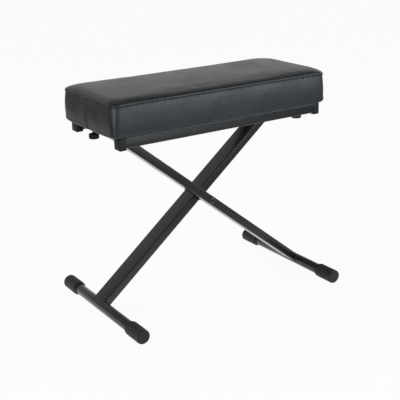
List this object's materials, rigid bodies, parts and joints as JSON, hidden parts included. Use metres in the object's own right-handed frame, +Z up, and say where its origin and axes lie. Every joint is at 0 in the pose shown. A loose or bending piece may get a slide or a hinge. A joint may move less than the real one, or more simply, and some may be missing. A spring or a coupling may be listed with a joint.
{
  "type": "folding keyboard bench",
  "caption": "Folding bench: boxed vinyl cushion on two rails over crossed steel legs with round foot bars, rubber caps and lock knobs.",
  "frame": {"origin": "on the floor at the centre of the bench", "axes": "+X along the seat towards its right end, +Y away from the player, +Z up"},
  "size_m": [0.6344, 0.407, 0.5795],
  "materials": {
    "vinyl_cover": "black grained vinyl over foam, satin",
    "board": "plain plywood",
    "plated_steel": "bright zinc plate",
    "black_steel": "black powder coat, satin",
    "foot_rubber": "black moulded rubber, matt",
    "black_plastic": "black moulded plastic"
  },
  "bodies": {
    "seat": {"seat_cushion": "vinyl_cover", "seat_board": "board", "front_rail_screw_left": "plated_steel", "front_rail_screw_middle": "plated_steel", "front_rail_screw_right": "plated_steel", "front_strip_screw_left": "plated_steel", "front_strip_screw_middle": "plated_steel", "front_saddle_screw_inner": "plated_steel", "front_saddle_screw_outer": "plated_steel", "rear_rail_screw_left": "plated_steel", "rear_rail_screw_middle": "plated_steel", "rear_rail_screw_right": "plated_steel", "rear_strip_screw_left": "plated_steel", "rear_strip_screw_middle": "plated_steel", "rear_saddle_screw_inner": "plated_steel", "rear_saddle_screw_outer": "plated_steel", "front_rail": "black_steel", "rear_rail": "black_steel", "front_rail_left_cap": "black_plastic", "front_rail_right_cap": "black_plastic", "rear_rail_left_cap": "black_plastic", "rear_rail_right_cap": "black_plastic", "front_strip": "plated_steel", "rear_strip": "plated_steel", "front_saddle": "black_steel", "rear_saddle": "black_steel"},
    "rear_leg": {"rear_leg_tube": "black_steel", "rear_leg_sleeve": "plated_steel", "left_foot_tube": "black_steel", "left_foot_front_cap": "foot_rubber", "left_foot_rear_cap": "foot_rubber", "right_cross_tube": "black_steel", "right_cross_front_plug": "black_plastic", "right_cross_rear_plug": "black_plastic", "pivot_bolt": "black_steel", "pivot_spacer": "black_plastic", "pivot_washer": "plated_steel", "pivot_nut": "plated_steel"},
    "front_leg": {"front_leg_tube": "black_steel", "front_leg_sleeve": "plated_steel", "right_foot_tube": "black_steel", "right_foot_front_cap": "foot_rubber", "right_foot_rear_cap": "foot_rubber", "left_cross_tube": "black_steel", "left_cross_front_plug": "black_plastic", "left_cross_rear_plug": "black_plastic"},
    "left_carriage": {"front_slide_block": "black_plastic", "rear_slide_block": "black_plastic"},
    "right_knob": {"right_lock_knob": "black_plastic", "right_lock_stud": "plated_steel"},
    "left_knob": {"left_lock_knob": "black_plastic", "left_lock_stud": "plated_steel"}
  },
  "joints": [
    {"name": "fold", "type": "hinge", "parent": "seat", "child": "rear_leg", "pos_m": [0.26386, 0, 0.47463], "axis": [0, 1, 0], "range_deg": [-4, 36.1]},
    {"name": "centre_pivot", "type": "hinge", "parent": "rear_leg", "child": "front_leg", "pos_m": [0, 0, 0.2602], "axis": [0, 1, 0], "range_deg": [-72.2, 8]},
    {"name": "carriage_pivot", "type": "hinge", "parent": "front_leg", "child": "left_carriage", "pos_m": [-0.26386, 0, 0.47463], "axis": [0, 1, 0], "range_deg": [-4, 36.1]},
    {"name": "right_lock", "type": "hinge", "parent": "seat", "child": "right_knob", "pos_m": [0.26386, -0.072, 0.45363], "axis": [0, 0, 1], "range_deg": [-360, 0]},
    {"name": "left_lock", "type": "hinge", "parent": "left_carriage", "child": "left_knob", "pos_m": [-0.26386, 0.072, 0.45363], "axis": [0, 0, 1], "range_deg": [-360, 0]}
  ],
  "couplings": [
    {"joint": "centre_pivot", "follows": "fold", "ratio": -2},
    {"joint": "carriage_pivot", "follows": "fold", "ratio": 1}
  ]
}
